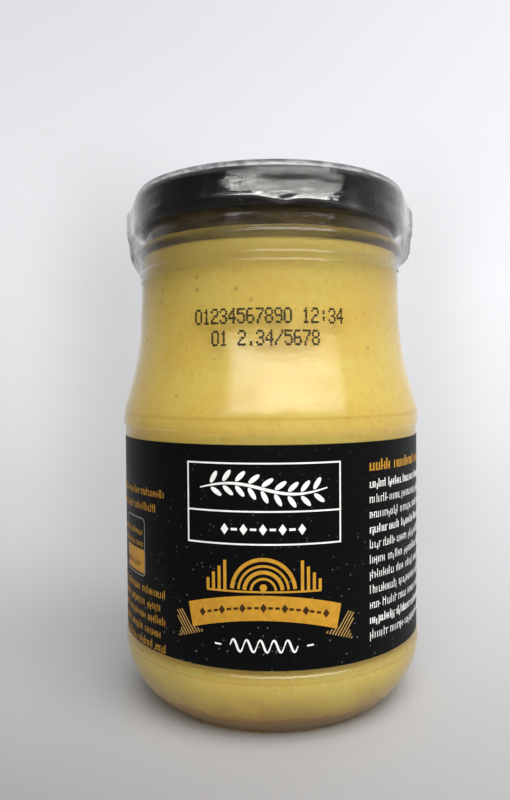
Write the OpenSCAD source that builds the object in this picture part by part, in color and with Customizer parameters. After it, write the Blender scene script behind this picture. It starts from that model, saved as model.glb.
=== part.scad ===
// Mustard jar: a clear glass jar filled with smooth mustard, a black metal
// twist-off lid, a shrunk clear seal film over lid and neck, and a black
// wrap-around label. Millimetres, +Z up, origin on the axis at the base.
// The label's front and the print on the glass face -Y.

/* [Jar body] */
// Widest diameter of the glass, over the two bands beside the label
body_d = 72.4; // [60:0.2:90]
// Height of the glass from the surface it stands on to its rim
jar_h = 120.3; // [112:0.1:150]
// Thickness of the side wall
wall = 2.8; // [1.8:0.1:3.6]
// Radius of the rounded heel between side and foot
heel_r = 17; // [9:0.5:17.5]
// Distance from the side wall in to the middle of the foot ring
foot_inset = 9.4; // [6:0.1:11]
// Width of the flat that the foot ring stands on
foot_w = 1.2; // [0.8:0.1:2]
// Height of the hollow under the base
push_up = 2.6; // [1.5:0.1:4]
// Thickness of the glass floor at its middle
floor_t = 3; // [2.4:0.1:6]
// Inner radius where the floor runs up into the wall
inner_heel_r = 10; // [6:0.5:13]

/* [Label panel] */
// Height of the panel's lower edge above the base
panel_z = 16; // [15.6:0.1:22]
// Height of the panel
panel_h = 49.6; // [38:0.1:56]
// How far the panel lies behind the two bands
panel_recess = 0.4; // [0.2:0.05:0.8]
// Height of the upper band, from the panel to the start of the shoulder
band_h = 2; // [1:0.1:4]

/* [Shoulder and neck] */
// Height of the shoulder, from the upper band to the neck
shoulder_h = 24; // [16:0.5:30]
// How long the shoulder stays upright at its foot
shoulder_pull = 4; // [2:0.5:9]
// How long the shoulder runs into the line of the neck
waist_pull = 13; // [6:0.5:15]
// How far the neck's foot stands out from the finish
neck_out = 1.35; // [0.8:0.05:2.5]
// How far the neck's top stands out from the finish
neck_top_out = 0.95; // [0.4:0.05:2]
// Distance from the rim down to the middle of the bead
bead_drop = 13.2; // [11.5:0.1:15]
// How far the bead stands out from the finish
bead_out = 2; // [1.5:0.05:2.2]
// Radius of the bead's rounded edge
bead_r = 1.5; // [1:0.1:1.8]
// Diameter of the mouth
mouth_d = 56; // [50:0.5:58]
// Rounding of the rim
rim_r = 0.8; // [0.4:0.1:1]

/* [Mustard] */
// Distance from the rim down to the top of the mustard
headspace = 13; // [8:0.5:20]
// Clearance between the mustard and the glass
fill_gap = 0.05; // [0.02:0.01:0.2]

/* [Lid] */
// Outer diameter of the lid
lid_d = 66.2; // [62:0.1:80]
// Height of the lid
lid_h = 8.8; // [8:0.1:11]
// Thickness of the lid's metal with its lining
lid_sheet = 0.5; // [0.3:0.05:0.6]
// Rounding of the lid's upper edge
lid_edge_r = 2.2; // [1.4:0.1:2.8]
// Diameter of the rolled lower edge
curl_d = 1.8; // [1.2:0.1:2]
// Clearance between the finish and the rolled edge
finish_gap = 0.4; // [0.2:0.05:0.8]
// Depth of the middle of the lid below its rim
lid_dish = 0.9; // [0.4:0.1:1.4]
// Clearance between the dished middle and the mouth
plug_gap = 0.4; // [0.2:0.1:0.8]

/* [Seal film] */
// Thickness of the film where it is shrunk on
film_t = 0.3; // [0.2:0.05:0.5]
// Clearance between the film and what it wraps
film_gap = 0.15; // [0.05:0.05:0.3]
// How far the two flattened folds stand out from the lid
film_ear = 2.4; // [1.2:0.1:3]
// Length of neck that the film covers below the bead
film_skirt = 4.7; // [3:0.1:7]
// Width of the film's lap on the top of the lid
film_lap = 4.4; // [3:0.1:7]
// How far the lap stands up from the lid
film_rise = 0.8; // [0.3:0.1:1.5]

/* [Label] */
// Thickness of the paper
label_t = 0.12; // [0.08:0.01:0.25]
// Distance from the panel's lower edge up to the label
label_up = 1.1; // [0.4:0.1:2]
// Distance from the panel's upper edge down to the label
label_down = 2.3; // [0.4:0.1:4]
// Width of the overlap at the back
label_lap = 6; // [3:0.5:10]

/* [Hidden] */
$fn = 96;
eps = 0.01;

// Radii and heights that follow from the sizes above
body_r = body_d / 2;
panel_r = body_r - panel_recess;
panel_top = panel_z + panel_h;
shoulder_z = panel_top + band_h;
neck_z = shoulder_z + shoulder_h;
lid_r = lid_d / 2;
finish_r = lid_r - lid_sheet - curl_d - finish_gap;
neck_r = finish_r + neck_out;
neck_top_r = finish_r + neck_top_out;
mouth_r = min(mouth_d / 2, finish_r - 1.6);
bead_z = jar_h - bead_drop;
bead_c = finish_r + bead_out - bead_r;
bead_low = bead_z - bead_r * sin(acos(max(-1, min(1, (neck_top_r - bead_c) / bead_r))));
foot_r = body_r - foot_inset;
foot_e = 0.6;
heel_start_r = foot_r + foot_w / 2 + foot_e;
heel_a = acos(max(0, 1 - (body_r - heel_start_r) / heel_r));
heel_top = foot_e + heel_r * sin(heel_a);
floor_z = push_up + floor_t;
floor_edge = floor_z - 1.4;
lid_top = jar_h + lid_sheet;
lid_low = lid_top - lid_h;
level_z = jar_h - headspace;
label_z = panel_z + label_up;
label_h = panel_h - label_up - label_down;

// A point on a cubic curve with two end points and two pulls, at t from 0 to 1
function bezier(a, b, c, d, t) =
    a * pow(1 - t, 3) + b * 3 * t * pow(1 - t, 2) + c * 3 * t * t * (1 - t) + d * pow(t, 3);

// Points on a circle's arc about c, from angle a0 to a1
function arc(c, r, a0, a1, n) =
    [for (i = [0 : n]) let (a = a0 + (a1 - a0) * i / n) [c[0] + r * cos(a), c[1] + r * sin(a)]];

// The shoulder's outer line, set in by w
function shoulder(w, n = 14) =
    let (slope = (neck_r - neck_top_r) / max(1, bead_low - neck_z))
    [for (i = [0 : n])
        bezier([body_r - w, shoulder_z], [body_r - w, shoulder_z + shoulder_pull],
               [neck_r - w + slope * waist_pull, neck_z - waist_pull], [neck_r - w, neck_z], i / n)];

// The hollow under the base: a shallow dome that meets the foot ring
function dome(n = 10) =
    let (r = foot_r - foot_w / 2 - foot_e, z = foot_e)
    [for (i = [0 : n]) [r * i / n, z + (push_up - z) * cos(90 * i / n)]];

// Outer line of the glass, from the middle of the base out and up to the rim
function outer_points() = concat(
    dome(),
    arc([foot_r - foot_w / 2, foot_e], foot_e, 202.5, 270, 3),
    arc([foot_r + foot_w / 2, foot_e], foot_e, 270, 337.5, 3),
    arc([body_r - heel_r, heel_top], heel_r, -heel_a, 0, 14),
    [[body_r, panel_z - panel_recess], [panel_r, panel_z], [panel_r, panel_top],
     [body_r, panel_top + panel_recess]],
    shoulder(0),
    [[neck_top_r, bead_low]],
    arc([bead_c, bead_z], bead_r, asin((bead_low - bead_z) / bead_r) + 8, 90, 9),
    [[finish_r, bead_z + bead_r]],
    arc([finish_r - rim_r, jar_h - rim_r], rim_r, 0, 90, 5));

// Inner line of the glass, from the middle of the floor up towards the mouth,
// set in by g
function inner_points(g = 0) = concat(
    [for (i = [0 : 10]) [(body_r - wall - inner_heel_r) * i / 10,
        floor_edge + g + (floor_z - floor_edge) * cos(9 * i)]],
    arc([body_r - wall - inner_heel_r, floor_edge + inner_heel_r], inner_heel_r - g, -80, 0, 10),
    shoulder(wall + g),
    [[neck_top_r - wall - g, bead_low], [mouth_r - g, bead_z + bead_r + 1.5]]);

module jar() {
    color([0.86, 0.9, 0.88, 0.4])
    difference() {
        rotate_extrude() polygon(concat(outer_points(), [[0, jar_h]]));
        rotate_extrude() polygon(concat(inner_points(),
            [[mouth_r, jar_h - rim_r],
             [mouth_r + rim_r, jar_h + eps], [0, jar_h + eps]]));
    }
}

module mustard() {
    color([0.85, 0.72, 0.3])
    intersection() {
        rotate_extrude() polygon(concat(inner_points(fill_gap),
            [[mouth_r - fill_gap, jar_h], [0, jar_h]]));
        cylinder(r = body_r, h = level_z);
    }
}

module lid() {
    dish_r = mouth_r - plug_gap;
    color([0.06, 0.06, 0.07])
    union() {
        difference() {
            rotate_extrude() polygon(concat(
                [[0, lid_low + curl_d / 2], [lid_r, lid_low + curl_d / 2]],
                arc([lid_r - lid_edge_r, lid_top - lid_edge_r], lid_edge_r, 0, 90, 8),
                [[dish_r - lid_sheet, lid_top], [dish_r - lid_sheet - lid_dish / 2, lid_top - lid_dish],
                 [0, lid_top - lid_dish]]));
            rotate_extrude() polygon(concat(
                [[0, lid_low - eps], [lid_r - lid_sheet, lid_low - eps]],
                arc([lid_r - lid_edge_r, lid_top - lid_edge_r], lid_edge_r - lid_sheet, 0, 90, 8),
                [[dish_r, lid_top - lid_sheet], [dish_r - lid_dish / 2, lid_top - lid_dish - lid_sheet],
                 [0, lid_top - lid_dish - lid_sheet]]));
        }
        rotate_extrude() translate([lid_r - curl_d / 2, lid_low + curl_d / 2]) circle(d = curl_d);
    }
}

// The film's round part, filled, with its surface w outside what it wraps
function film_line(w) =
    let (low = bead_low - film_skirt,
         slope = (neck_r - neck_top_r) / max(1, bead_low - neck_z))
    [[neck_top_r + slope * film_skirt + w, low],
     [neck_top_r + slope * film_skirt * 0.4 + w, bead_low - film_skirt * 0.4],
     [finish_r + bead_out + w, bead_z],
     [lid_r + w, lid_low + curl_d / 2],
     [lid_r + w, lid_top - lid_edge_r],
     [lid_r - lid_edge_r * 0.3 + w, lid_top - lid_edge_r * 0.2 + w],
     [lid_r - lid_edge_r * 0.9, lid_top + w + film_rise],
     [lid_r - film_lap, lid_top + w + film_rise * 0.5]];

module film_core(w) {
    pts = film_line(w);
    rotate_extrude() polygon(concat([[0, pts[0][1]]], pts, [[0, pts[len(pts) - 1][1]]]));
}

// One flattened fold of the film, filled, its tip w outside the fold's seat
module film_fold(w) {
    pts = film_line(w);
    tip = film_ear + w * 0.1;
    stations = [[pts[0][0], pts[0][1], 0], [pts[3][0], pts[3][1], tip],
                [pts[4][0], pts[4][1], tip], [pts[5][0], pts[5][1], 0]];
    hull()
        for (s = stations)
            translate([0, 0, s[1]]) linear_extrude(eps)
                let (a = acos(s[0] / (s[0] + s[2])))
                polygon([[s[0] * 0.8, 0], [s[0] * cos(a + 1), s[0] * sin(a + 1) - eps],
                         [s[0] + s[2], 0], [s[0] * cos(a + 1), -s[0] * sin(a + 1) + eps]]);
}

module film() {
    low = bead_low - film_skirt;
    color([0.8, 0.82, 0.84, 0.35])
    difference() {
        union() {
            film_core(film_gap + film_t);
            film_fold(film_gap + film_t);
            mirror([1, 0, 0]) film_fold(film_gap + film_t);
        }
        film_core(film_gap);
        film_fold(film_gap);
        mirror([1, 0, 0]) film_fold(film_gap);
        translate([0, 0, low - 1]) cylinder(r = film_line(film_gap)[0][0], h = 2);
        translate([0, 0, lid_top]) cylinder(r = lid_r - film_lap, h = 4);
    }
}

module label() {
    lap_a = label_lap / panel_r * 180 / PI;
    color([0.05, 0.05, 0.06]) {
        difference() {
            translate([0, 0, label_z]) cylinder(r = panel_r + label_t, h = label_h);
            translate([0, 0, label_z - 1]) cylinder(r = panel_r, h = label_h + 2);
        }
        rotate([0, 0, 90 - lap_a / 2]) rotate_extrude(angle = lap_a)
            translate([panel_r + label_t / 2, label_z]) square([label_t * 1.5, label_h]);
    }
}

jar();
mustard();
lid();
film();
label();
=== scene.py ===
"""A closed jar of mustard: glass, filling, lid, shrunk seal film, printed label and a dotted code.

Sizes are in millimetres in the dataclasses and become metres when a piece is finished.
"""
import logging
import math
import random
from dataclasses import dataclass
from enum import Enum
from typing import Callable, Iterable, Sequence

import bmesh
import bpy
from mathutils import Euler, Matrix, Vector, noise


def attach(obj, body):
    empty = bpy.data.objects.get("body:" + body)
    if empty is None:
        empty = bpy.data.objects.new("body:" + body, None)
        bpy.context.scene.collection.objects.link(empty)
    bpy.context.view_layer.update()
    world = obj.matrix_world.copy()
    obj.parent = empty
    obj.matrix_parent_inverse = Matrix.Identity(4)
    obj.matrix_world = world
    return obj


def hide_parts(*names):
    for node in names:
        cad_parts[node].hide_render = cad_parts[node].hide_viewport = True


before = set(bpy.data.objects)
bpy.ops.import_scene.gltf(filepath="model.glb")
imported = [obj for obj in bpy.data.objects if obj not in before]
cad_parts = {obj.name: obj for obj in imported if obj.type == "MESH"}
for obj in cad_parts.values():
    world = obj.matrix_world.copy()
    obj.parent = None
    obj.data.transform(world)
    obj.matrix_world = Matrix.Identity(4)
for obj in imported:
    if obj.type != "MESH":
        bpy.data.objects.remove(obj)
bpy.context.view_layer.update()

LOG = logging.getLogger("mustard_jar")
MM = 0.001
ROOT = "root"
SHARP_EDGE = math.radians(40.0)
WELD = 1e-5
Point = tuple[float, float]
Triple = tuple[float, float, float]
Colour = tuple[float, float, float, float]
Material = bpy.types.Material
Piece = bpy.types.Object
Mesh = bmesh.types.BMesh
Vert = bmesh.types.BMVert


# ------------------------------ shader maths


def _operator(operation: str) -> Callable[["Sock", object], "Sock"]:
    """Return a method that feeds a socket and one other value to a Math node."""

    def apply(self: "Sock", other: object) -> "Sock":
        return self.math(operation, other)

    return apply


class Sock:
    """A shader value or colour socket that takes part in Python arithmetic."""

    def __init__(self, nodes: "Nodes", socket: bpy.types.NodeSocket) -> None:
        """Wrap a socket of a material's node tree."""
        self.nodes = nodes
        self.socket = socket

    def math(self, operation: str, *others: object) -> "Sock":
        """Feed this socket and others to one Math node.

        Args:
            operation: The Math node's operation.
            others: Further inputs, sockets or numbers, in order.

        Returns:
            The node's value.
        """
        values = dict(enumerate((self, *others)))
        return self.nodes.add("ShaderNodeMath", {"operation": operation}, values)

    def __rsub__(self, other: object) -> "Sock":
        """Return other - self."""
        return self.nodes.add("ShaderNodeMath", {"operation": "SUBTRACT"}, {0: other, 1: self})

    __add__ = __radd__ = _operator("ADD")
    __sub__ = _operator("SUBTRACT")
    __mul__ = _operator("MULTIPLY")
    __truediv__ = _operator("DIVIDE")
    __pow__ = _operator("POWER")

    def step(self, low: float, high: float) -> "Sock":
        """Return a smooth step from 0 at low to 1 at high; low may be above high."""
        values = {"Value": self, "From Min": low, "From Max": high, "To Min": 0.0, "To Max": 1.0}
        return self.nodes.add("ShaderNodeMapRange", {"interpolation_type": "SMOOTHSTEP"}, values)

    def less(self, other: object) -> "Sock":
        """Return 1 where self is below other."""
        return self.math("LESS_THAN", other)


class Nodes:
    """Builds one material's node tree around a Principled shader."""

    def __init__(self, name: str) -> None:
        """Start an empty material with a shader and an output."""
        self.material = bpy.data.materials.new(name)
        self.material.use_nodes = True
        self.tree = self.material.node_tree
        self.tree.nodes.clear()
        self.output = self.tree.nodes.new("ShaderNodeOutputMaterial")
        self.shader = self.tree.nodes.new("ShaderNodeBsdfPrincipled")
        self.tree.links.new(self.shader.outputs[0], self.output.inputs["Surface"])
        self._coords: Sock | None = None

    def _feed(self, target: bpy.types.NodeSocket, value: object) -> None:
        """Link a socket or set a plain value on an input."""
        if isinstance(value, Sock):
            self.tree.links.new(value.socket, target)
        else:
            target.default_value = value

    def add(
        self, kind: str, settings: dict[str, object], values: dict[object, object], out: object = 0
    ) -> Sock:
        """Make any node.

        Args:
            kind: The node's type name.
            settings: Properties, set before the inputs.
            values: Input name or index to a number, colour or socket.
            out: Name or index of the output to return.

        Returns:
            The chosen output.
        """
        node = self.tree.nodes.new(kind)
        for key, value in settings.items():
            setattr(node, key, value)
        for key, value in values.items():
            self._feed(node.inputs[key], value)
        return Sock(self, node.outputs[out])

    def coords(self) -> Sock:
        """Return the piece's Object coordinates."""
        if self._coords is None:
            self._coords = self.add("ShaderNodeTexCoord", {}, {}, "Object")
        return self._coords

    def scaled(self, x: float, y: float, z: float) -> Sock:
        """Return Object coordinates times a scale on each axis."""
        return self.add("ShaderNodeMapping", {}, {"Vector": self.coords(), "Scale": (x, y, z)})

    def axes(self) -> tuple[Sock, Sock, Sock]:
        """Return the X, Y and Z of the Object coordinates."""
        node = self.add("ShaderNodeSeparateXYZ", {}, {0: self.coords()})
        outs = node.socket.node.outputs
        return tuple(Sock(self, outs[i]) for i in range(3))

    def cloud(
        self, scale: float, detail: float = 3.0, rough: float = 0.5, at: Sock | None = None
    ) -> Sock:
        """Return a noise value from 0 to 1, scale in features a metre."""
        values = {"Vector": at or self.coords(), "Scale": scale, "Detail": detail, "Roughness": rough}
        return self.add("ShaderNodeTexNoise", {}, values)

    def specks(self, scale: float, radius: float, share: float) -> Sock:
        """Return 1 on sparse round specks.

        Args:
            scale: Cells a metre.
            radius: Speck radius as a share of a cell.
            share: How many of the cells hold a speck, from 0 to 1.

        Returns:
            The speck mask.
        """
        cells = {"Vector": self.coords(), "Scale": scale}
        near = self.add("ShaderNodeTexVoronoi", {}, cells, "Distance")
        pick = Sock(self, near.socket.node.outputs["Color"])
        chance = self.add("ShaderNodeSeparateColor", {}, {0: pick})
        size = Sock(self, chance.socket.node.outputs[1])
        return near.step(radius, radius * 0.45) * chance.less(share) * (0.5 + size * 0.5)

    def blend(self, mask: Sock, low: object, high: object) -> Sock:
        """Return the colour low where mask is 0 and high where it is 1."""
        return self.add("ShaderNodeMix", {"data_type": "RGBA"}, {0: mask, 6: low, 7: high}, 2)

    def bump(self, height: Sock, distance: float, strength: float = 1.0) -> Sock:
        """Return a bumped normal for a height and its depth in metres."""
        values = {"Strength": strength, "Distance": distance, "Height": height}
        return self.add("ShaderNodeBump", {}, values, "Normal")

    def finish(self, values: dict[str, object]) -> Material:
        """Set the shader's sockets and return the material."""
        for key, value in values.items():
            self._feed(self.shader.inputs[key], value)
        return self.material


def rgb(red: float, green: float, blue: float) -> Colour:
    """Turn a screen colour, 0 to 255 a channel, into a linear shader colour."""

    def line(channel: float) -> float:
        share = channel / 255.0
        return share / 12.92 if share <= 0.04045 else ((share + 0.055) / 1.055) ** 2.4

    return (line(red), line(green), line(blue), 1.0)


# ------------------------------ finishes


@dataclass(frozen=True)
class ClearGlass:
    """Soda-lime jar glass with a faint ripple from the mould, tinted warm in the foot as a painted
    reflection of the mustard.
    """

    ior: float = 1.52
    tint: Colour = (0.985, 0.995, 0.985, 1.0)
    # warm tint of the foot, a painted reflection of the mustard's underside
    foot: Colour = (1.0, 0.8, 0.4, 1.0)
    ripple: float = 0.00006
    foot_z: Point = (0.0075, 0.0034)
    ripple_z: Point = (0.003, 0.014)
    finish_z: Point = (0.1082, 0.1092)

    def make(self) -> Material:
        """Return the glass material."""
        nodes = Nodes("jar_glass")
        waves = nodes.cloud(190.0, 3.0, 0.6, nodes.scaled(1.0, 1.0, 3.0)) + nodes.cloud(60.0, 2.0) * 1.6
        waves = waves + nodes.cloud(800.0, 3.0, 0.6, nodes.scaled(0.7, 0.7, 1.6)) * 0.5
        z = nodes.axes()[2]
        # painted reflection: the foot glass is tinted warm as if it showed the mustard above it
        foot = z.step(*self.foot_z)
        finish = z.step(*self.finish_z)
        haze = 0.14 + nodes.cloud(120.0, 3.0).step(0.3, 0.8) * 0.13
        return nodes.finish({
            "Base Color": nodes.blend(foot, self.tint, self.foot),
            "Roughness": haze * (1.0 - finish * 0.8) + foot * 0.16,
            "IOR": self.ior,
            "Transmission Weight": 1.0,
            "Normal": nodes.bump(waves * z.step(*self.ripple_z), self.ripple),
        })


@dataclass(frozen=True)
class SmoothMustard:
    """Creamy mustard with husk specks and faint streaks; painted shade makes warm rims and step lines,
    a browner foot and a dark smear.
    """

    level: float
    foot_z: Point = (0.014, 0.004)
    # heights and widths of thin painted shade lines along the glass steps above and below the label
    shade_rings: tuple[Point, ...] = ((65.9, 0.8), (68.3, 0.5), (15.6, 0.7), (13.6, 0.5))
    pale: Colour = rgb(242, 222, 117)
    deep: Colour = rgb(238, 203, 88)
    # colour of the painted shade at the rims and along the glass steps
    warm_shade: Colour = rgb(224, 169, 62)
    tan: Colour = rgb(206, 142, 58)
    husk: Colour = rgb(150, 92, 38)
    # browner colour towards the foot, a painted shade
    foot: Colour = rgb(192, 150, 88)
    # a smear colour made very dark as painted shade under the lid
    smear: Colour = rgb(72, 44, 22)

    def make(self) -> Material:
        """Return the mustard material."""
        nodes = Nodes("mustard_cream")
        z = nodes.axes()[2]
        drift = nodes.cloud(42.0, 4.0, 0.6, nodes.scaled(1.0, 1.0, 1.7)).step(0.3, 0.72)
        grain = nodes.cloud(700.0, 3.0, 0.65).step(0.35, 0.7)
        # painted shade: warmer, darker colour towards the edges as seen
        side = nodes.add("ShaderNodeLayerWeight", {}, {"Blend": 0.35}, "Facing").step(0.12, 0.75)
        # painted shade: patchy browner colour towards the foot
        low = z.step(*self.foot_z) * nodes.cloud(110.0, 4.0, 0.6).step(0.35, 0.62)
        # painted shade: thin warm lines where the glass steps
        shade_rings = [(z - ring * MM).math("ABSOLUTE").step(width * MM, 0.0) for ring, width in self.shade_rings]
        coarse = nodes.specks(250.0, 0.09, 0.4)
        # painted shade: the real smear in the headspace is darkened as if shaded by the lid
        high = z.step(self.level * MM - 0.0002, self.level * MM + 0.0008)
        streak = nodes.cloud(240.0, 4.0, 0.6, nodes.scaled(0.4, 0.4, 1.6)).step(0.25, 0.7)
        layers = (
            (side * 0.7, self.warm_shade),
            (low * 0.5, self.foot),
            *[(ring * 0.45, self.warm_shade) for ring in shade_rings],
            (nodes.specks(620.0, 0.28, 0.45) * 0.3, self.tan),
            (nodes.specks(250.0, 0.2, 0.4) * 0.35, self.tan),
            (coarse * 0.38, self.husk),
            (high * (0.7 + streak * 0.3), self.smear),
        )
        colour = nodes.blend(drift * 0.65 + grain * 0.35, self.deep, self.pale)
        for share, over in layers:
            colour = nodes.blend(share, colour, over)
        return nodes.finish({
            "Base Color": colour,
            "Roughness": 0.42 + grain * 0.15,
            "Specular IOR Level": 0.3,
            "Normal": nodes.bump(nodes.cloud(420.0, 3.0) + coarse * 0.4, 0.00012),
        })


@dataclass(frozen=True)
class LidLacquer:
    """Gloss black lacquer on tinplate."""

    black: Colour = rgb(12, 12, 12)
    worn: Colour = rgb(26, 25, 25)

    def make(self) -> Material:
        """Return the lacquer material."""
        nodes = Nodes("lid_lacquer")
        smear = nodes.cloud(70.0, 4.0).step(0.35, 0.75)
        return nodes.finish({
            "Base Color": nodes.blend(smear * 0.5, self.black, self.worn),
            "Roughness": 0.13 + smear * 0.12,
            "Specular IOR Level": 0.24,
            "Coat Weight": 0.06,
            "Coat Roughness": 0.12,
            "Normal": nodes.bump(nodes.cloud(300.0, 2.0), 0.00001),
        })


@dataclass(frozen=True)
class Crease:
    """The sagging crease across the front of the film, in millimetres."""

    z: float = 113.8
    tilt: float = -0.06
    dip: float = 1.1
    at: float = 2.4
    dip_w: float = 3.0
    start: float = -12.0
    end: float = 17.0
    fade: float = 4.0
    out: float = 0.42
    ridge_out: float = 0.09
    ridge_w: float = 0.42


@dataclass(frozen=True)
class ShrinkFilm:
    """Clear shrink film with fine creases and two rows of tear dots."""

    ior: float = 1.22
    coat_ior: float = 1.9
    clear: Colour = (0.985, 0.985, 0.98, 1.0)
    shaded: Colour = rgb(84, 84, 86)
    dot: Colour = rgb(170, 170, 168)
    ear_start: float = 0.0334
    dot_pitch: float = 0.00165
    dot_size: float = 0.00034

    def _sheen(self, nodes: Nodes, crease: Crease) -> Sock:
        """Return the share of gloss above the crease, strongest along it."""
        x, y, z = (axis / MM for axis in nodes.axes())
        fall = ((x - crease.at) / crease.dip_w) ** 2.0
        above = z - crease.z - x * crease.tilt + (fall * -1.0).math("EXPONENT") * crease.dip
        ends = x.step(crease.start - crease.fade, crease.start) * y.less(0.0)
        ends = ends * x.step(crease.end + crease.fade, crease.end)
        return above.step(-0.7, 0.1) * (above.step(1.2, 0.2) * 0.6 + above.step(6.0, 0.5) * 0.4) * ends

    def make(self, crease: Crease, rows: Sequence[float], low: float, high: float) -> Material:
        """Return the film material.

        Args:
            crease: The crease on the front.
            rows: The X of each row of tear dots on the front, in metres.
            low: Height at which the rows start, in metres.
            high: Height at which they end, in metres.

        Returns:
            The material.
        """
        nodes = Nodes("seal_film")
        x, y, z = nodes.axes()
        beat = ((z / self.dot_pitch).math("FRACT") - 0.5) * self.dot_pitch
        span = z.step(low, low + 0.0002) * z.step(high, high - 0.0002) * y.less(0.0)
        gaps = [((x - row) ** 2.0 + beat * beat).math("SQRT") for row in rows]
        dots = sum(gap.step(self.dot_size, self.dot_size * 0.5) for gap in gaps) * span
        creases = nodes.cloud(230.0, 4.0, 0.62, nodes.scaled(1.0, 1.0, 2.2))
        folds = nodes.cloud(420.0, 4.0, 0.6, nodes.scaled(1.0, 1.0, 0.3)).step(0.42, 0.62)
        ear = x.math("ABSOLUTE").step(self.ear_start, self.ear_start + 0.0012)
        shade = ear * (0.2 + folds * 0.4) * (0.55 + x.step(-0.02, 0.02) * 0.45)
        tint = nodes.blend(shade * z.step(low - 0.004, low), self.clear, self.shaded)
        # painted shade: grey on the tent of film below the lid and on its lap above it
        tent = x.math("ABSOLUTE").step(0.029, 0.0325) * z.step(low, low - 0.002)
        tent = tent + z.step(high + 0.0012, high + 0.0022)
        tint = nodes.blend(tent * (0.35 + folds * 0.4), tint, self.shaded)
        return nodes.finish({
            "Base Color": nodes.blend(dots * 0.25, tint, self.dot),
            "Roughness": 0.03 + folds * 0.05 + dots * 0.3,
            "IOR": self.ior,
            "Transmission Weight": 1.0,
            "Coat Weight": self._sheen(nodes, crease) * (0.75 + folds * 0.25),
            "Coat IOR": self.coat_ior,
            "Coat Roughness": 0.06,
            "Normal": nodes.bump(creases + folds * ear * 0.8 + dots * 1.5, 0.00016),
        })


@dataclass(frozen=True)
class BlackLabelPaper:
    """Satin black label paper with a spatter of pale flecks, denser low down."""

    black: Colour = rgb(8, 8, 9)
    fleck: Colour = rgb(126, 126, 122)

    def make(self, low: float, high: float) -> Material:
        """Return the paper material for a label from height low to high, in metres."""
        nodes = Nodes("label_black")
        z = nodes.axes()[2]
        lower = z.step(high, low) * 0.8 + 0.2
        flecks = (nodes.specks(1100.0, 0.26, 0.2) * 0.7 + nodes.specks(560.0, 0.13, 0.18)) * lower
        fibre = nodes.cloud(1500.0, 3.0, 0.6)
        return nodes.finish({
            "Base Color": nodes.blend(flecks.math("MINIMUM", 1.0), self.black, self.fleck),
            "Roughness": 0.38 + fibre * 0.16,
            "Specular IOR Level": 0.07,
            "Normal": nodes.bump(fibre, 0.00001),
        })


class PrintColour(Enum):
    """The inks of the label and of the dotted code."""

    WHITE = ("print_white", (240, 240, 238))
    ORANGE = ("print_orange", (190, 140, 44))
    TAN = ("print_tan", (176, 142, 82))
    GREY = ("print_grey", (132, 130, 128))
    DARK = ("print_dark", (62, 40, 16))
    CODE = ("code_ink", (56, 46, 24))


@dataclass(frozen=True)
class PrintInk:
    """Flat printed ink with slightly uneven cover."""

    colour: PrintColour
    patchy: float = 0.16

    def make(self) -> Material:
        """Return the ink material."""
        name, screen = self.colour.value
        nodes = Nodes(name)
        full = rgb(*screen)
        thin = tuple(channel * (1.0 - self.patchy) for channel in full[:3]) + (1.0,)
        cover = nodes.cloud(700.0, 3.0).step(0.3, 0.7)
        return nodes.finish({
            "Base Color": nodes.blend(cover, thin, full),
            "Roughness": 0.42 + cover * 0.1,
            "Specular IOR Level": 0.15,
        })


@dataclass(frozen=True)
class PaleSheet:
    """The studio sheet, with painted light: pale at the far right, greyer at the near left and shaded
    beside the jar.
    """

    # far and near colours of the painted falloff of light
    far: Colour = rgb(236, 236, 238)
    near: Colour = rgb(116, 115, 114)
    start: float = 0.06
    span: float = 1.2
    shade: float = 0.32
    fall: float = 0.45

    def make(self) -> Material:
        """Return the sheet's material."""
        nodes = Nodes("pale_sheet")
        x, y, z = nodes.axes()
        # painted falloff of light: darker near the camera and to the left, paler far off and to the
        # right
        reach = y + x * 0.3 + z * 0.36 + nodes.cloud(3.0, 2.0) * 0.03
        painted_falloff = ((reach + self.start) / self.span).math("MAXIMUM", 0.0).math("MINIMUM", 1.0) ** self.fall
        # painted shadow: soft shade on the sheet behind the jar, beside its left and right edges
        across = x / (y.math("MAXIMUM", 0.0) + 0.18)
        painted_jar_shadow = (across + 0.2).math("ABSOLUTE").step(0.17, 0.0)
        painted_jar_shadow = painted_jar_shadow + (across - 0.2).math("ABSOLUTE").step(0.13, 0.0) * 0.6
        painted_falloff = painted_falloff * (1.0 - painted_jar_shadow * y.step(0.0, 0.2) * z.step(0.62, 0.2) * self.shade)
        colour = nodes.blend(painted_falloff, self.near, self.far)
        return nodes.finish({"Base Color": colour, "Roughness": 0.9, "Specular IOR Level": 0.1})


# ------------------------------ shape helpers


def arc(centre: Point, radius: float, start: float, end: float, count: int) -> list[Point]:
    """Return points on an arc.

    Args:
        centre: The arc's centre.
        radius: Its radius.
        start: First angle in degrees.
        end: Last angle in degrees.
        count: Number of steps.

    Returns:
        count + 1 points.
    """
    angles = (math.radians(start + (end - start) * i / count) for i in range(count + 1))
    return [(centre[0] + radius * math.cos(a), centre[1] + radius * math.sin(a)) for a in angles]


def bezier(ends: Sequence[Point], count: int) -> list[Point]:
    """Return count + 1 points of a cubic curve with four control points."""
    points = []
    for i in range(count + 1):
        t = i / count
        weights = ((1 - t) ** 3, 3 * t * (1 - t) ** 2, 3 * t * t * (1 - t), t**3)
        points.append(tuple(sum(w * p[k] for w, p in zip(weights, ends)) for k in range(2)))
    return points


def smooth_share(value: float, low: float, high: float) -> float:
    """Return a smooth step of value from 0 at low to 1 at high."""
    share = min(1.0, max(0.0, (value - low) / (high - low)))
    return share * share * (3 - 2 * share)


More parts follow.
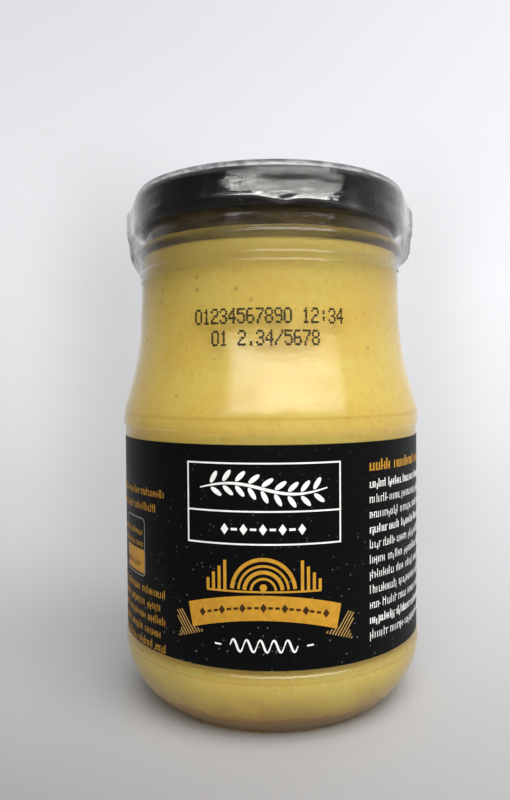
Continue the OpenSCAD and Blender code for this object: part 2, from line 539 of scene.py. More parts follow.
def smooth_line(stations: Sequence[Point], count: int) -> list[Point]:
    """Return a soft curve through stations, with count steps between two of them."""
    points = [stations[0], *stations, stations[-1]]
    line = []
    for a, b, c, d in zip(points, points[1:], points[2:], points[3:]):
        for i in range(count):
            t = i / count
            point = []
            for p, q, u, v in zip(a, b, c, d):
                bend = (2 * p - 5 * q + 4 * u - v) * t * t + (3 * q - p - 3 * u + v) * t**3
                point.append(0.5 * (2 * q + (u - p) * t + bend))
            line.append(tuple(point))
    return [*line, stations[-1]]


def around(angle: float, reach: float, height: float) -> Vector:
    """Return the point at an angle, a reach and a height about the Z axis."""
    return Vector((math.cos(angle) * reach, math.sin(angle) * reach, height))


def placed(x: float, y: float, turn: float, size: Point) -> Matrix:
    """Return a matrix that sizes a flat shape, turns it in degrees and moves it to x, y."""
    turned = Matrix.Translation((x, y, 0)) @ Matrix.Rotation(math.radians(turn), 4, "Z")
    return turned @ Matrix.Diagonal((*size, 1, 1))


def lathe(bm: Mesh, line: Sequence[Point], steps: int, closed: bool = False) -> None:
    """Spin a profile of radius and height about the Z axis, the seam at the back.

    Args:
        bm: The mesh to add to.
        line: The profile's points.
        steps: Segments of a full turn.
        closed: Whether the profile is a loop.
    """
    verts = [bm.verts.new((0.0, r, z)) for r, z in line]
    edges = [bm.edges.new(pair) for pair in zip(verts, verts[1:])]
    if closed:
        edges.append(bm.edges.new((verts[-1], verts[0])))
    turn = {"cent": (0, 0, 0), "axis": (0, 0, 1), "angle": math.tau}
    bmesh.ops.spin(bm, geom=verts + edges, steps=steps, use_merge=True, **turn)
    bmesh.ops.remove_doubles(bm, verts=bm.verts, dist=WELD)
    bmesh.ops.recalc_face_normals(bm, faces=bm.faces)


def to_object(bm: Mesh, name: str, material: Material) -> Piece:
    """Turn a mesh, which is freed, into a smooth object with one material."""
    mesh = bpy.data.meshes.new(name)
    bm.to_mesh(mesh)
    bm.free()
    mesh.shade_smooth()
    mesh.materials.append(material)
    made = bpy.data.objects.new(name, mesh)
    bpy.context.scene.collection.objects.link(made)
    return made


def finish_piece(
    bm: Mesh, name: str, material: Material, nodes: Iterable[str] = ()
) -> Piece:
    """Turn a mesh in millimetres into a dressed piece that rides on the jar.

    Args:
        bm: The mesh, which is freed.
        name: The piece's name.
        material: Its finish.
        nodes: CAD nodes that it stands for.

    Returns:
        The finished object.
    """
    bmesh.ops.scale(bm, vec=(MM, MM, MM), verts=bm.verts)
    piece = to_object(bm, name, material)
    piece.data.set_sharp_from_angle(angle=SHARP_EDGE)
    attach(piece, ROOT)
    if nodes:
        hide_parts(*nodes)
    LOG.info("%s: %d faces", name, len(piece.data.polygons))
    return piece


# ------------------------------ the jar


@dataclass
class JarBody:
    """The glass: foot ring with knurls, heel, label panel, shoulder, neck, bead and finish."""

    body_r: float = 36.2
    height: float = 120.3
    wall: float = 2.8
    heel_r: float = 17.0
    foot_r: float = 26.8
    foot_w: float = 1.2
    foot_e: float = 0.6
    push_up: float = 2.6
    floor_t: float = 3.0
    inner_heel_r: float = 10.0
    panel_z: float = 16.0
    panel_top: float = 65.6
    recess: float = 0.4
    band_top: float = 67.6
    shoulder_pull: float = 4.0
    waist_pull: float = 13.0
    neck_z: float = 91.6
    neck_r: float = 31.75
    neck_top_r: float = 31.35
    finish_r: float = 30.4
    mouth_r: float = 28.0
    bead_z: float = 107.1
    bead_r: float = 1.5
    bead_c: float = 30.9
    rim_r: float = 0.8
    knurls: int = 72
    knurl_h: float = 0.35
    knurl_top: float = 1.2
    knurl_reach: float = 2.0
    steps: int = 576

    @property
    def panel_r(self) -> float:
        """Return the radius of the label panel."""
        return self.body_r - self.recess

    @property
    def bead_low(self) -> float:
        """Return the height at which the bead leaves the neck."""
        meets = math.acos((self.neck_top_r - self.bead_c) / self.bead_r)
        return self.bead_z - self.bead_r * math.sin(meets)

    def shoulder(self, inset: float, count: int = 22) -> list[Point]:
        """Return the line of the shoulder, set in by inset."""
        slope = (self.neck_r - self.neck_top_r) / (self.bead_low - self.neck_z)
        return bezier(
            (
                (self.body_r - inset, self.band_top),
                (self.body_r - inset, self.band_top + self.shoulder_pull),
                (self.neck_r - inset + slope * self.waist_pull, self.neck_z - self.waist_pull),
                (self.neck_r - inset, self.neck_z),
            ),
            count,
        )

    def outer_line(self) -> list[Point]:
        """Return the outside from the middle of the base up to the rim."""
        dome_r = self.foot_r - self.foot_w / 2 - self.foot_e
        dome_h = self.push_up - self.foot_e
        dome = [(dome_r * i / 12, self.foot_e + dome_h * math.cos(math.pi / 24 * i)) for i in range(13)]
        start = self.foot_r + self.foot_w / 2 + self.foot_e
        sweep = math.degrees(math.acos(1 - (self.body_r - start) / self.heel_r))
        heel_top = self.foot_e + self.heel_r * math.sin(math.radians(sweep))
        # Each edge of the panel eases in, by shares of the recess outward and past the edge.
        shares = ((1.0, 2.2), (0.85, 1.1), (0.5, 0.6), (0.1, 0.1), (0.0, -0.6))
        ease = [(self.recess * out, self.recess * past) for out, past in shares]
        bead_start = math.degrees(math.asin((self.bead_low - self.bead_z) / self.bead_r)) + 8
        return [
            *dome,
            *arc((self.foot_r - self.foot_w / 2, self.foot_e), self.foot_e, 202.5, 270, 3),
            *arc((self.foot_r + self.foot_w / 2, self.foot_e), self.foot_e, 270, 337.5, 3),
            *arc((self.body_r - self.heel_r, heel_top), self.heel_r, -sweep, 0, 16),
            *[(self.panel_r + out, self.panel_z - past) for out, past in ease],
            *[(self.panel_r + out, self.panel_top + past) for out, past in ease[::-1]],
            *self.shoulder(0.0),
            (self.neck_top_r, self.bead_low - 0.4),
            *arc((self.bead_c, self.bead_z), self.bead_r, bead_start, 90, 9),
            (self.finish_r, self.bead_z + self.bead_r + 0.2),
            *arc((self.finish_r - self.rim_r, self.height - self.rim_r), self.rim_r, 0, 90, 5),
        ]

    def inner_line(self, inset: float) -> list[Point]:
        """Return the inside from the middle of the floor up to the mouth, set in by inset."""
        centre = self.body_r - self.wall - self.inner_heel_r
        floor = self.push_up + self.floor_t
        edge = floor - 1.4
        return [
            *[(centre * i / 10, edge + inset + 1.4 * math.cos(math.radians(9 * i))) for i in range(11)],
            *arc((centre, edge + self.inner_heel_r), self.inner_heel_r - inset, -80, 0, 14),
            *self.shoulder(self.wall + inset),
            (self.neck_top_r - self.wall - inset, self.bead_low),
            (self.mouth_r - inset, self.bead_z + self.bead_r + 1.5),
        ]

    def build(self) -> Piece:
        """Spin the glass, raise the knurls' gaps and dress it."""
        bm = bmesh.new()
        mouth = [
            (self.mouth_r + self.rim_r, self.height),
            (self.mouth_r + self.rim_r * 0.3, self.height - 0.24),
            (self.mouth_r, self.height - self.rim_r),
        ]
        lathe(bm, self.outer_line() + mouth + self.inner_line(0.0)[::-1], self.steps)
        self._knurl(bm)
        return finish_piece(bm, "jar_glass", ClearGlass().make(), ["jar"])

    def _knurl(self, bm: Mesh) -> None:
        """Lift the foot ring between its short radial bars."""
        for vert in bm.verts:
            up = vert.co.z / self.knurl_top
            near = abs(math.hypot(vert.co.x, vert.co.y) - self.foot_r) / self.knurl_reach
            if up < 1.0 and near < 1.0:
                beat = 0.5 - 0.5 * math.cos(self.knurls * math.atan2(vert.co.y, vert.co.x))
                vert.co.z += self.knurl_h * beat * (1.0 - up) * (1.0 - near**2)


@dataclass
class MustardFill:
    """The mustard, which reaches just into the glass so that no air shows."""

    jar: JarBody
    overlap: float = 0.12
    level: float = 107.3
    climb: float = 5.5
    steps: int = 192

    def build(self) -> Piece:
        """Spin the filling up to its level and dress it."""
        inside = self.jar.inner_line(-self.overlap)
        line = [point for point in inside if point[1] < self.level - 0.2]
        wall = self.jar.mouth_r + self.overlap
        below, above = line[-1], inside[len(line)]
        edge = below[0] + (above[0] - below[0]) * (self.level - below[1]) / (above[1] - below[1])
        top = [
            (edge, self.level),
            (wall, self.jar.bead_z + self.jar.bead_r + 1.6),
            (wall, self.level + self.climb),
            (wall - 0.25, self.level + self.climb + 0.1),
            (wall - 0.6, self.level + self.climb - 0.3),
            (wall - 0.9, self.level + 0.7),
            (wall - 1.8, self.level + 0.1),
            (wall - 3.0, self.level),
            (0.0, self.level),
        ]
        bm = bmesh.new()
        lathe(bm, line + top, self.steps)
        cream = SmoothMustard(self.level).make()
        return finish_piece(bm, "mustard_fill", cream, ["mustard"])


@dataclass
class TwistLid:
    """The tinplate lid with a dished middle, a rounded edge and a rolled lower edge."""

    radius: float = 33.1
    top: float = 120.8
    height: float = 8.8
    sheet: float = 0.5
    edge_r: float = 2.2
    curl_r: float = 0.9
    dish_r: float = 27.6
    dish: float = 0.9
    steps: int = 256

    def build(self) -> Piece:
        """Spin the lid as one rolled sheet and dress it."""
        low = self.top - self.height
        edge = (self.radius - self.edge_r, self.top - self.edge_r)
        step = self.dish / 2
        floor = self.top - self.dish
        wall = self.dish_r - self.sheet
        outer = [
            (0.0, floor),
            (wall - step - 0.9, floor),
            *arc((wall - step - 0.3, floor + 0.3), 0.3, -90, -45, 3),
            *arc((wall + 0.2, self.top - 0.35), 0.35, 135, 90, 3),
            *arc(edge, self.edge_r, 90, 0, 10),
            *arc((self.radius - self.curl_r, low + self.curl_r), self.curl_r, 0, -240, 16),
        ]
        inner = [
            (self.radius - self.sheet - 0.05, low + self.curl_r * 2.3),
            *arc(edge, self.edge_r - self.sheet, 0, 90, 8),
            (self.dish_r, self.top - self.sheet),
            (self.dish_r - step, floor - self.sheet),
            (0.0, floor - self.sheet),
        ]
        bm = bmesh.new()
        lathe(bm, outer + inner, self.steps)
        return finish_piece(bm, "lid_shell", LidLacquer().make(), ["lid"])


@dataclass
class SealFilm:
    """The shrunk sleeve round lid and neck, with a flattened fold at each side and fine creases."""

    jar: JarBody
    lid: TwistLid
    gap: float = 0.12
    thick: float = 0.05
    ear: float = 2.45
    lap: float = 4.4
    rise: float = 0.95
    edge_z: float = 101.3
    edge_tilt: float = 1.0
    crease: Crease = Crease()
    steps: int = 480

    def line(self) -> list[Point]:
        """Return the sleeve's line from the neck up to its lap on the lid."""
        top, edge, bead_z = self.lid.top, self.edge_z, self.jar.bead_z
        low = top - self.lid.height
        skirt = self.lid.radius + self.gap
        neck = self.jar.neck_top_r + 0.1 + self.gap
        bead = self.jar.bead_c + self.jar.bead_r + self.gap
        stations = [
            (neck + 0.14, edge),
            (neck, edge + 0.5),
            (neck + 0.36, edge + 1.5),
            (neck + 0.1, edge + 2.2),
            (neck + 0.35, edge + 3.0),
            (bead - 0.15, bead_z - 1.2),
            (bead, bead_z),
            (bead + 0.12, bead_z + 1.6),
            (skirt - 0.35, low - 1.2),
            (skirt, low + 0.5),
            (skirt + 0.1, low + 2.0),
            (skirt, low + 3.4),
            (skirt, top - self.lid.edge_r),
            (skirt - 0.15, top - 1.0),
            (skirt - 0.75, top + 0.35),
            (skirt - 1.6, top + self.rise),
            (skirt - 2.6, top + self.rise + 0.2),
            (skirt - self.lap, top + self.rise - 0.1),
        ]
        return smooth_line(stations, 6)

    def build(self) -> Piece:
        """Spin the sleeve, fold and crease it, give it its thickness and dress it."""
        bm = bmesh.new()
        lathe(bm, self.line(), self.steps)
        low, high = self.edge_z, self.lid.top
        for vert in bm.verts:
            self._fold(vert, low, high)
        bmesh.ops.recalc_face_normals(bm, faces=bm.faces)
        bmesh.ops.solidify(bm, geom=bm.faces[:], thickness=self.thick)
        bmesh.ops.recalc_face_normals(bm, faces=bm.faces)
        rows = [row * MM for row in (-5.9, 22.2)]
        material = ShrinkFilm().make(self.crease, rows, (low + 11.5) * MM, (high - 1.6) * MM)
        return finish_piece(bm, "seal_film", material, ["film"])

    def _fold(self, vert: Vert, low: float, high: float) -> None:
        """Move one point of the round sleeve out to the folds and creases."""
        reach = math.hypot(vert.co.x, vert.co.y)
        side = abs(vert.co.x) / reach
        angle = math.atan2(vert.co.y, vert.co.x)
        up = (vert.co.z - low) / (high - low)
        grow = smooth_share(up, -0.03, 0.34) * (1.0 - smooth_share(up, 0.82, 1.04))
        tip = reach + self.ear * grow
        tangent = math.acos(min(1.0, reach / tip)) + 1e-6
        off = math.acos(min(1.0, side))
        straight = reach / math.cos(max(0.0, tangent - off)) if off < tangent else reach
        crumple = 0.12 * grow * math.exp(-((off / 0.35) ** 2))
        place = around(angle, 5.0, vert.co.z * 0.55)
        wave = noise.noise(place) * 0.16 * grow + noise.noise(place * 3.1) * 0.04 * grow
        wave += crumple * noise.noise(place * 2.3)
        wave += (0.13 if vert.co.z < 111.5 else 0.05) * noise.noise(around(angle, 2.4, vert.co.z * 0.8))
        reach_new = max(straight + wave + self._crease(vert, angle), reach - 0.02)
        vert.co.x *= reach_new / reach
        vert.co.y *= reach_new / reach
        near_edge = 1.0 - smooth_share(up, 0.0, 0.3)
        lift_noise = 0.4 * noise.noise(around(angle, 3.0, 7.0))
        lift = self.edge_tilt * math.cos(angle) + 0.35 * math.sin(3 * angle + 0.6)
        lift -= 0.3 * abs(math.sin(angle))
        vert.co.z += near_edge * (lift + lift_noise)

    def _crease(self, vert: Vert, angle: float) -> float:
        """Return how far the sagging crease on the front pushes a point out."""
        crease = self.crease
        along = (angle + math.pi / 2) * self.lid.radius
        if vert.co.y > 0 or not crease.start - crease.fade < along < crease.end + crease.fade:
            return 0.0
        sag = crease.dip * math.exp(-(((along - crease.at) / crease.dip_w) ** 2))
        height = crease.z + crease.tilt * along - sag
        height += 0.15 * noise.noise(Vector((along * 0.25, 0.0, 3.0)))
        ends = smooth_share(along, crease.start - crease.fade, crease.start)
        ends *= 1.0 - smooth_share(along, crease.end, crease.end + crease.fade)
        rise = smooth_share(vert.co.z, height - 2.4, height)
        fall = 1.0 - 0.55 * smooth_share(vert.co.z, height, height + 4.0)
        ridge = crease.ridge_out * math.exp(-(((vert.co.z - height) / crease.ridge_w) ** 2))
        below_rim = 1.0 - smooth_share(vert.co.z, 117.5, 120.0)
        return (crease.out * rise * fall * below_rim + ridge) * ends


# ------------------------------ print


@dataclass
class PrintSheet:
    """Flat printed shapes of one ink, drawn in millimetres and then wrapped round the jar."""

    colour: PrintColour
    lift: float = 0.02
    thick: float = 0.02
    pitch: float = 0.8

    def __post_init__(self) -> None:
        """Start with an empty sheet."""
        self.bm = bmesh.new()

    def _grid(self, columns: int, rows: int, matrix: Matrix = Matrix()) -> list[Vert]:
        """Add a unit square of cells, moved by a matrix, and return its points."""
        size = {"x_segments": columns, "y_segments": rows, "size": 0.5}
        return bmesh.ops.create_grid(self.bm, matrix=matrix, **size)["verts"]

    def bar(
        self,
        x: float,
        y: float,
        width: float,
        height: float,
        turn: float = 0.0,
        warp: Callable[[float, float], Point] | None = None,
    ) -> None:
        """Draw a rectangle.

        Args:
            x: Centre across.
            y: Centre up.
            width: Size across.
            height: Size up.
            turn: Degrees of turn about the centre.
            warp: A function that moves each point.
        """
        cells = max(1, math.ceil(width / self.pitch))
        matrix = placed(x, y, turn, (width, height))
        rows = max(1, math.ceil(height / self.pitch)) if abs(turn) > 1 else 1
        made = self._grid(cells, rows, matrix)
        for vert in made if warp else ():
            vert.co.x, vert.co.y = warp(vert.co.x, vert.co.y)

    def stroke(self, points: Sequence[Point], widths: Sequence[float]) -> None:
        """Draw a line through points, with a width at each."""
        count = len(points) - 1
        for vert in self._grid(count, 1):
            i = round((vert.co.x + 0.5) * count)
            ahead, behind = points[min(i + 1, count)], points[max(i - 1, 0)]
            along = Vector((ahead[0] - behind[0], ahead[1] - behind[1])).normalized()
            reach = widths[i] * vert.co.y
            vert.co = Vector((points[i][0] - along.y * reach, points[i][1] + along.x * reach, 0.0))

    def ring(self, x: float, y: float, radius: float, width: float, start: float, end: float) -> None:
        """Draw a band along an arc from start to end, in degrees."""
        steps = 28
        self.stroke(arc((x, y), radius, start, end, steps), [width] * (steps + 1))

    def disc(
        self,
        x: float,
        y: float,
        radius: float,
        stretch: float = 1.0,
        turn: float = 0.0,
        corners: int = 16,
    ) -> None:
        """Draw a disc, stretched along its own length and turned, or a lozenge with 4 corners."""
        matrix = placed(x, y, turn, (stretch, 1.0))
        bmesh.ops.create_circle(self.bm, cap_ends=True, segments=corners, radius=radius, matrix=matrix)

    def hatch(self, shape: Sequence[Point], start: Point, end: Point, width: float) -> None:
        """Draw the parts of a straight line that lie inside a closed shape."""
        dx, dy = end[0] - start[0], end[1] - start[1]
        cuts = []
        for (ax, ay), (bx, by) in zip(shape, [*shape[1:], shape[0]]):
            ex, ey = bx - ax, by - ay
            cross = dx * ey - dy * ex
            if abs(cross) > 1e-9:
                t = ((ax - start[0]) * ey - (ay - start[1]) * ex) / cross
                u = ((ax - start[0]) * dy - (ay - start[1]) * dx) / cross
                if 0.0 <= u < 1.0:
                    cuts.append(t)
        cuts.sort()
        for low, high in zip(cuts[::2], cuts[1::2]):
            ends = [(start[0] + dx * t, start[1] + dy * t) for t in (low, high)]
            self.stroke(ends, [width, width])

    def wrap(self, radius: Callable[[float], float], turn: float) -> None:
        """Give the shapes their thickness and bend them round the jar.

        Args:
            radius: The surface's radius at a height.
            turn: Degrees by which the middle is turned from the front.
        """
        for face in self.bm.faces:
            if face.normal.z < 0 or face.calc_center_median().z != 0:
                face.normal_flip()
        made = bmesh.ops.extrude_face_region(self.bm, geom=self.bm.faces[:], use_keep_orig=True)
        raised = [g for g in made["geom"] if isinstance(g, Vert)]
        bmesh.ops.translate(self.bm, verts=raised, vec=(0, 0, self.thick))
        bmesh.ops.recalc_face_normals(self.bm, faces=self.bm.faces)
        for vert in self.bm.verts:
            base = radius(vert.co.y)
            angle = vert.co.x / base + math.radians(turn)
            reach = base + self.lift + vert.co.z
            vert.co = Vector((reach * math.sin(angle), -reach * math.cos(angle), vert.co.y))

    def finish(self, name: str, slot: str) -> Piece:
        """Dress the wrapped shapes as one piece."""
        return finish_piece(self.bm, name, PrintInk(self.colour).make())


@dataclass
class WrapLabel:
    """The black wrap label, with a frame, a fan ornament, a ribbon, two columns and a flourish."""

    radius: float = 35.8
    thick: float = 0.12
    low: float = 17.1
    high: float = 63.3
    lap: float = 6.0
    turn: float = -2.6
    steps: int = 288

    def build(self) -> list[Piece]:
        """Make the paper and its print, and return the pieces."""
        bm = bmesh.new()
        outer = self.radius + self.thick
        low, high = self.low, self.high
        strip = [(self.radius, low), (outer, low), (outer, high), (self.radius, high)]
        lathe(bm, strip, self.steps, closed=True)
        self._lap(bm, outer)
        black = BlackLabelPaper().make(low * MM, high * MM)
        return [finish_piece(bm, "label_paper", black, ["label"]), *self._print()]

    def _lap(self, bm: Mesh, outer: float) -> None:
        """Add the overlapping end of the paper at the back."""
        half = self.lap / outer / 2
        inner, top = outer - 0.02, outer + self.thick * 0.9
        corners = ((inner, self.low), (top, self.low), (top, self.high), (inner, self.high))
        start = [bm.verts.new((reach, 0, z)) for reach, z in corners]
        behind = Matrix.Rotation(math.pi / 2 - half, 3, "Z")
        bmesh.ops.rotate(bm, verts=start, cent=(0, 0, 0), matrix=behind)
        first = bm.faces.new(start)
        bmesh.ops.spin(bm, geom=[first], cent=(0, 0, 0), axis=(0, 0, 1), angle=half * 2, steps=12)
        bmesh.ops.recalc_face_normals(bm, faces=bm.faces)

    def _print(self) -> list[Piece]:
        """Draw every ink of the label."""
        inks = (PrintColour.WHITE, PrintColour.ORANGE, PrintColour.TAN, PrintColour.GREY)
        white, orange, tan, grey = (PrintSheet(ink) for ink in inks)
        dark = PrintSheet(PrintColour.DARK, lift=0.045)
        self._frame(white)
        self._sprig(white)
        self._fan(orange)
        self._ribbon(orange, tan, dark)
        self._flourish(white)
        self._right_column(white, orange)
        self._left_column(orange, grey, dark)
        pieces = []
        for sheet in (white, orange, tan, grey, dark):
            sheet.wrap(lambda height: self.radius + self.thick, self.turn)
            pieces.append(sheet.finish(sheet.colour.value[0], "label"))
        return pieces

    def _frame(self, ink: PrintSheet) -> None:
        """Draw the two-cell frame."""
        left, right, top, low, split, line = -16.3, 16.3, 59.55, 43.05, 49.75, 0.34
        middle, width = (left + right) / 2, right - left
        for height in (top, split, low):
            ink.bar(middle, height, width + line, line)
        for side in (left, right):
            ink.bar(side, (top + low) / 2, line, top - low - line)

    def _sprig(self, ink: PrintSheet) -> None:
        """Draw a leafy sprig in the upper cell and lozenges in the lower one."""
        length, middle, sway, steps = 13.4, 54.4, 1.1, 40
        turns = [math.tau * i / steps for i in range(steps + 1)]
        points = [(length * (turn / math.pi - 1), middle + sway * math.sin(turn)) for turn in turns]
        ink.stroke(points, [0.25 + 0.4 * math.sin(turn / 2) for turn in turns])
        for i in range(3, steps - 2, 4):
            x, y = points[i]
            slope = math.degrees(math.atan(sway * math.pi / length * math.cos(turns[i])))
            for side in (1, -1):
                turn = slope + side * 48
                across, up = (2.05 * way(math.radians(turn)) for way in (math.cos, math.sin))
                ink.disc(x + across * 0.8 + 0.3, y + up, 0.52, 2.7, turn)
        for i in range(-4, 5):
            if i % 2:
                ink.bar(i * 2.0, 46.1, 1.3, 0.5)
            else:
                ink.disc(i * 2.0, 46.1, 1.15, 0.72, 0, 4)

    def _fan(self, ink: PrintSheet) -> None:
        """Draw a stepped fan ornament: nested half rings between falling bars."""
        base = 33.5
        for radius, width in ((6.5, 0.8), (5.15, 0.5), (3.9, 0.8), (2.55, 0.5)):
            ink.ring(0, base, radius, width, 4, 176)
        ink.disc(0, base + 0.75, 0.75)
        for side in (1, -1):
            for k, height in enumerate((6.2, 4.9, 3.6, 2.3)):
                ink.bar(side * (8.0 + k * 1.25), base + height / 2, 0.66, height)
        ink.bar(0, base - 0.15, 24.0, 0.4)

    def _ribbon(self, ink: PrintSheet, tail: PrintSheet, mark: PrintSheet) -> None:
        """Draw the arched ribbon, its striped tails and its small marks."""

        half, rise = 16.2, 2.5

        def arch(x: float, y: float) -> Point:
            return (x * (1.0 + (y - 28.8) * 0.012), y + rise * (1.0 - (x / half) ** 2))

        ink.bar(0, 27.55, half * 2, 5.15, warp=arch)
        for i in range(-9, 10):
            if i % 3:
                mark.bar(i * 1.45, 27.6, 0.95, 0.5, warp=arch)
            else:
                mark.disc(i * 1.45, 27.6 + rise * (1 - (i * 1.45 / half) ** 2), 0.95, 0.75, 0, 4)
        for side in (1, -1):
            shape = [(17.7, 28.6), (20.0, 27.7), (18.4, 24.6), (19.3, 22.3), (12.4, 24.5), (15.4, 25.2)]
            shape = [(side * x, y) for x, y in shape]
            for i in range(12):
                top, foot = (side * (across + i * 0.78) for across in (16.4, 11.2))
                tail.hatch(shape, (top, 29.0), (foot, 21.5), 0.24)

    def _flourish(self, ink: PrintSheet) -> None:
        """Draw a thin waving line between two dashes."""
        middle, length, steps = 22.2, 14.0, 80
        waves = [5 * math.pi * i / steps for i in range(steps + 1)]
        heights = [middle + 1.25 * math.sin(2 * wave) for wave in waves]
        points = [(length * (i / steps - 0.5), height) for i, height in enumerate(heights)]
        ink.stroke(points, [0.2 + 0.26 * abs(math.sin(wave)) for wave in waves])
        for side in (1, -1):
            ink.bar(side * 9.6, middle, 1.4, 0.34, turn=6 * side)

    def _words(
        self, ink: PrintSheet, start: float, end: float, height: float, size: float, rng: random.Random
    ) -> None:
        """Draw one line of plain ticks of text size, from start to end."""
        x, way, line = start, 1 if end > start else -1, size * 0.108
        while (end - x) * way > size:
            for _ in range(rng.randint(5, 15)):
                tall = size * rng.choice((0.7, 0.7, 0.7, 0.7, 0.7, 1.0))
                drop = size * rng.choice((0.0,) * 9 + (-0.25,))
                ink.bar(x, height - size / 2 + drop + tall / 2, line, tall)
                gap = size * rng.uniform(0.28, 0.46)
                if rng.random() < 0.55:
                    level = size * rng.choice((0.06, 0.35, 0.64))
                    ink.bar(x + way * gap / 2, height - size / 2 + level, gap, line * 0.8)
                x += way * gap
            x += way * size * 0.42

    def _right_column(self, ink: PrintSheet, head: PrintSheet) -> None:
        """Draw the heading and the block of small lines at the right."""
        rng = random.Random(11)
        left = 24.0
        for shift in (0.0, 0.16):
            self._words(head, left + shift, left + 31 + shift, 58.3, 2.4, random.Random(4))
        for row in range(11):
            bold = (0.0, 0.1) if row in (0, 3, 9) else (0.0,)
            seed = rng.randint(0, 999)
            for shift in bold:
                start, height = left + shift, 54.4 - row * 3.22
                self._words(ink, start, start + 41, height, 1.85, random.Random(seed))

    def _left_column(self, ink: PrintSheet, outline: PrintSheet, mark: PrintSheet) -> None:
        """Draw the lines and the two-part box at the left."""
        rng = random.Random(5)
        right = -23.4
        for row, height in enumerate((52.0, 48.6)):
            self._words(ink, right - row * 3.0, right - 27, height, 1.8, rng)
        centre, width, top, low, split, corner, line = -36.2, 11.0, 45.6, 32.7, 38.6, 1.1, 0.3
        for height in (top, low):
            outline.bar(centre, height, width - corner * 2, line)
        for side, at in ((1, centre + width / 2), (-1, centre - width / 2)):
            outline.bar(at, (top + low) / 2, line, top - low - corner * 2)
            for height, a in ((top - corner, 45 - 45 * side), (low + corner, 45 - 135 * side)):
                outline.ring(at - side * corner, height, corner, line, a, a + 90)
        ink.bar(centre, (split + low) / 2 + line, width - 0.5, split - low - 0.6)
        lines = ((ink, 4.2, -4.6, 42.6), (ink, 4.6, -4.6, 39.9), (mark, 3.2, -3.4, 35.4))
        for sheet, start, end, height in lines:
            self._words(sheet, centre + start, centre + end, height, 1.5, rng)
        for row in range(5):
            self._words(ink, right - (row % 2) * 1.6, right - 27, 30.2 - row * 2.95, 1.9, rng)


@dataclass
class DottedCode:
    """Two rows of plain numbers in sprayed dots on the glass of the neck."""

    jar: JarBody
    column: float = 0.33075
    row: float = 0.47
    dot: float = 0.28
    pitch: float = 1.94
    stray: float = 0.03
    rows: tuple[tuple[str, float, float], ...] = (
        ("01234567890 12:34", -16.3, 88.35),
        ("01 2.34/5678", -12.3, 83.75),
    )

    # Each mark is seven rows of five dots, top row first, as the bits of a number.
    MARKS = {
        "0": (14, 17, 17, 17, 17, 17, 14), "1": (4, 12, 4, 4, 4, 4, 14), "2": (14, 17, 1, 6, 8, 16, 31),
        "3": (14, 17, 1, 6, 1, 17, 14), "4": (2, 6, 10, 18, 31, 2, 2), "5": (31, 16, 30, 1, 1, 17, 14),
        "6": (14, 16, 16, 30, 17, 17, 14), "7": (31, 1, 2, 4, 4, 8, 8),
        "8": (14, 17, 17, 14, 17, 17, 14), "9": (14, 17, 17, 15, 1, 1, 14), ":": (0, 4, 4, 0, 4, 4, 0),
        ".": (0, 0, 0, 0, 0, 4, 4), "/": (1, 1, 2, 4, 8, 16, 16), " ": (0, 0, 0, 0, 0, 0, 0),
    }

    def _neck(self, height: float) -> float:
        """Return the neck's radius at a height."""
        line = self.jar.shoulder(0.0) + [(self.jar.neck_top_r, self.jar.bead_low)]
        for (r0, z0), (r1, z1) in zip(line, line[1:]):
            if z0 <= height <= z1:
                return r0 + (r1 - r0) * (height - z0) / (z1 - z0)
        return self.jar.neck_r

    def build(self) -> Piece:
        """Spray the dots and wrap them round the neck."""
        sheet = PrintSheet(PrintColour.CODE, lift=0.015)
        rng = random.Random(3)
        for text, left, base in self.rows:
            for place, mark in enumerate(text):
                start = left + place * self.pitch
                for up, bits in enumerate(reversed(self.MARKS[mark])):
                    for across in range(5):
                        if bits >> (4 - across) & 1:
                            x = start + across * self.column + rng.uniform(-self.stray, self.stray)
                            y = base + up * self.row + rng.uniform(-self.stray, self.stray)
                            sheet.disc(x, y, self.dot * rng.uniform(0.85, 1.1), 1.0, 0, 8)
        sheet.wrap(self._neck, 0.0)
        return sheet.finish("code_dots", "label")


# ------------------------------ studio


@dataclass(frozen=True)
class SoftLight:
    """One soft area light, in metres and watts, aimed at a point."""

    name: str
    place: Triple
    size: Point
    power: float
    aim: Triple
    colour: Triple
    shape: str = "RECTANGLE"

    def hang(self) -> None:
        """Hang the light in the scene."""
        light = bpy.data.lights.new(self.name, "AREA")
        light.shape = self.shape
        light.size, light.size_y = self.size
        light.energy = self.power
        light.color = self.colour
        lamp = bpy.data.objects.new(self.name, light)
        lamp.location = self.place
        aim = Vector(self.aim) - Vector(self.place)
        lamp.rotation_euler = aim.to_track_quat("-Z", "Y").to_euler()
        bpy.context.scene.collection.objects.link(lamp)


LIGHTS = (
    SoftLight("window", (0.133, -0.532, 0.444), (1.15, 0.2), 3.2, (0, 0, 0.075), (1, 0.985, 0.95)),
    SoftLight("sill", (0.1, -0.56, 0.345), (1.3, 0.1), 1.15, (0, 0, 0.09), (1, 0.98, 0.95), "ELLIPSE"),
    SoftLight("ceiling", (0.22, -0.45, 0.86), (0.9, 0.6), 9.6, (0, 0, 0.06), (1, 0.99, 0.98)),
    SoftLight("backdrop", (0.45, 0.5, 1.15), (0.7, 0.5), 2.7, (0.2, 1.3, 0.5), (0.98, 0.99, 1)),
)


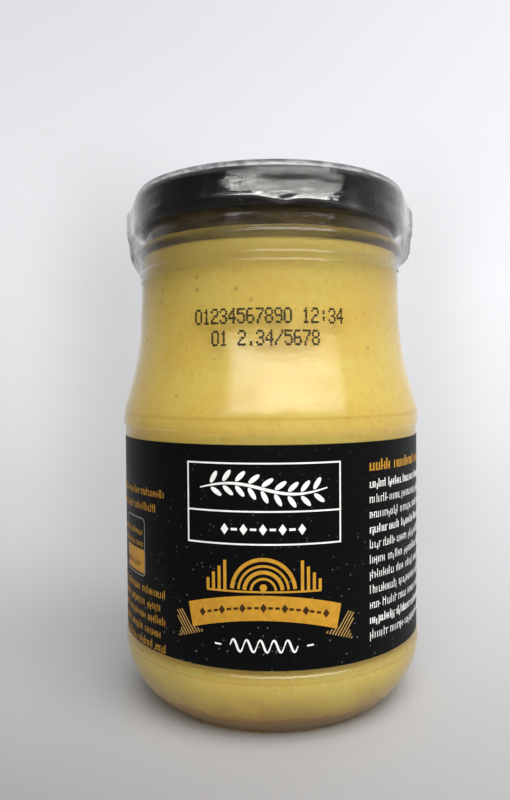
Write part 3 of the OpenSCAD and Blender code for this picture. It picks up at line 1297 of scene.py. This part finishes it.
@dataclass
class Studio:
    """The pale floor with its far rise, the soft lights and the camera."""

    flat_r: float = 0.4
    rise_r: float = 0.95
    rim_h: float = 1.3
    lens: float = 31.81
    distance: float = 0.1781
    height: float = 0.0769
    yaw: float = 1.226
    pitch: float = 1.805
    roll: float = 0.42
    sky: Colour = (0.93, 0.94, 0.97, 1.0)
    sky_power: float = 0.75

    def build(self) -> None:
        """Make the floor, the lights, the sky and the camera."""
        self._floor()
        for light in LIGHTS:
            light.hang()
        self._sky()
        self._camera()

    def _floor(self) -> None:
        """Spin a flat floor that rises far away on every side."""
        bm = bmesh.new()
        rise = arc((self.flat_r, self.rise_r), self.rise_r, -88, 0, 24)
        lathe(bm, [(0.0, 0.0), (self.flat_r, 0.0), *rise, (self.flat_r + self.rise_r, self.rim_h)], 96)
        bmesh.ops.reverse_faces(bm, faces=[f for f in bm.faces if f.normal.z < -0.01])
        floor = to_object(bm, "pale_floor", PaleSheet().make())

    def _sky(self) -> None:
        """Set a plain pale sky."""
        world = bpy.data.worlds.new("sky")
        world.use_nodes = True
        back = world.node_tree.nodes["Background"]
        back.inputs["Color"].default_value = self.sky
        back.inputs["Strength"].default_value = self.sky_power
        bpy.context.scene.world = world

    def _camera(self) -> None:
        """Place the camera in front of the jar at the height of its shoulder."""
        data = bpy.data.cameras.new("camera")
        data.lens = self.lens
        data.sensor_width = 36.0
        data.clip_start = 0.01
        camera = bpy.data.objects.new("camera", data)
        camera.location = (0.0, -self.distance, self.height)
        look = Euler((math.radians(90.0 - self.pitch), 0.0, math.radians(self.yaw)), "XYZ").to_matrix()
        camera.rotation_euler = (look @ Matrix.Rotation(math.radians(-self.roll), 3, "Z")).to_euler()
        bpy.context.scene.collection.objects.link(camera)
        bpy.context.scene.camera = camera
        bpy.context.scene.view_settings.view_transform = "Standard"


def main() -> None:
    """Build the jar piece by piece."""
    logging.basicConfig(level=logging.INFO, format="%(name)s %(message)s")
    jar = JarBody()
    lid = TwistLid()
    jar.build()
    MustardFill(jar).build()
    lid.build()
    SealFilm(jar, lid).build()
    WrapLabel().build()
    DottedCode(jar).build()
    Studio().build()


if __name__ == "__main__":
    main()
